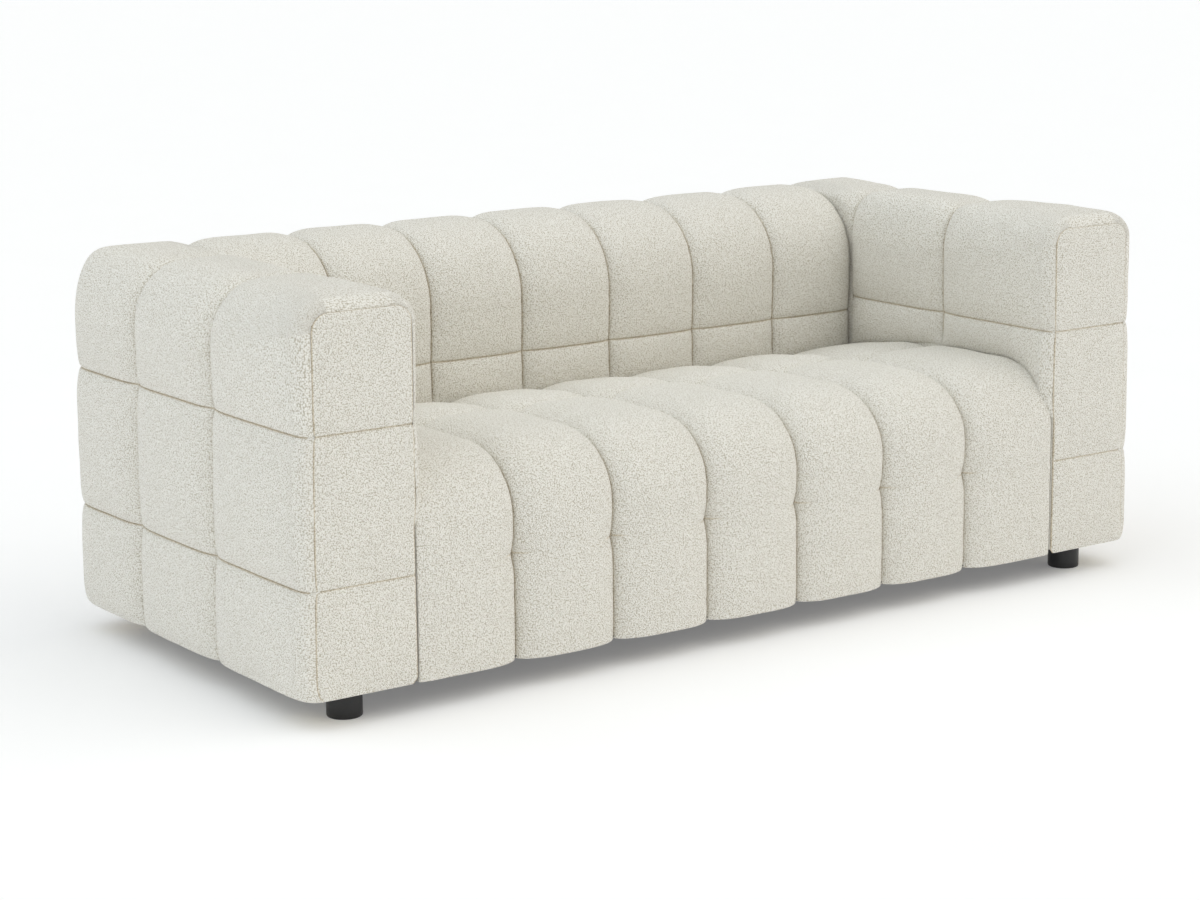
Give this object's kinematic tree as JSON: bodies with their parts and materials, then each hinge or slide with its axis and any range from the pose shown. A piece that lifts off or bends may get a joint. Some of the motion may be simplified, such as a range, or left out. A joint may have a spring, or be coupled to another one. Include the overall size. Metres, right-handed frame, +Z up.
{
  "type": "two-seater sofa",
  "caption": "Low two-seater sofa with quilted cream loop-fabric arms, seat and back at one height, on short round black legs.",
  "frame": {"origin": "on the floor, under the middle of the sofa", "axes": "+X along the seat to the right arm as seen from the front, -Y towards the front, +Z up"},
  "size_m": [1.8652, 0.838, 0.701],
  "materials": {
    "fabric": "cream looped wool-look fabric, matt",
    "foam": null,
    "timber": "planed pine",
    "board": "hardboard",
    "steel": "bright spring steel",
    "felt": "grey needled felt",
    "webbing": "black elastic webbing",
    "dust_sheet": "black spunbonded sheet",
    "leg": "satin black plastic"
  },
  "bodies": {
    "root": {"left_arm_cover": "fabric", "left_arm_front_panel": "fabric", "left_arm_rear_panel": "fabric", "right_arm_cover": "fabric", "right_arm_front_panel": "fabric", "right_arm_rear_panel": "fabric", "back_cover": "fabric", "seat_cover": "fabric", "left_arm_foam": "foam", "left_arm_front_pad": "foam", "right_arm_foam": "foam", "right_arm_front_pad": "foam", "back_foam": "foam", "seat_foam": "foam", "left_arm_bottom_rail": "timber", "left_arm_top_rail": "timber", "left_arm_front_post": "timber", "left_arm_rear_post": "timber", "right_arm_bottom_rail": "timber", "right_arm_top_rail": "timber", "right_arm_front_post": "timber", "right_arm_rear_post": "timber", "back_bottom_rail": "timber", "back_top_rail": "timber", "back_left_post": "timber", "back_centre_post": "timber", "back_right_post": "timber", "seat_front_rail": "timber", "seat_rear_rail": "timber", "seat_left_rail": "timber", "seat_right_rail": "timber", "seat_centre_rail": "timber", "left_arm_outer_board": "board", "left_arm_inner_board": "board", "right_arm_outer_board": "board", "right_arm_inner_board": "board", "front_clip_strip": "steel", "rear_clip_strip": "steel", "seat_spring_1": "steel", "seat_spring_2": "steel", "seat_spring_3": "steel", "seat_spring_4": "steel", "seat_spring_5": "steel", "seat_spring_6": "steel", "left_seat_plate": "steel", "left_back_plate": "steel", "right_seat_plate": "steel", "right_back_plate": "steel", "spring_felt": "felt", "back_strap_1": "webbing", "back_strap_2": "webbing", "back_strap_3": "webbing", "dust_sheet": "dust_sheet", "front_left_leg": "leg", "rear_left_leg": "leg", "front_right_leg": "leg", "rear_right_leg": "leg"}
  },
  "joints": []
}
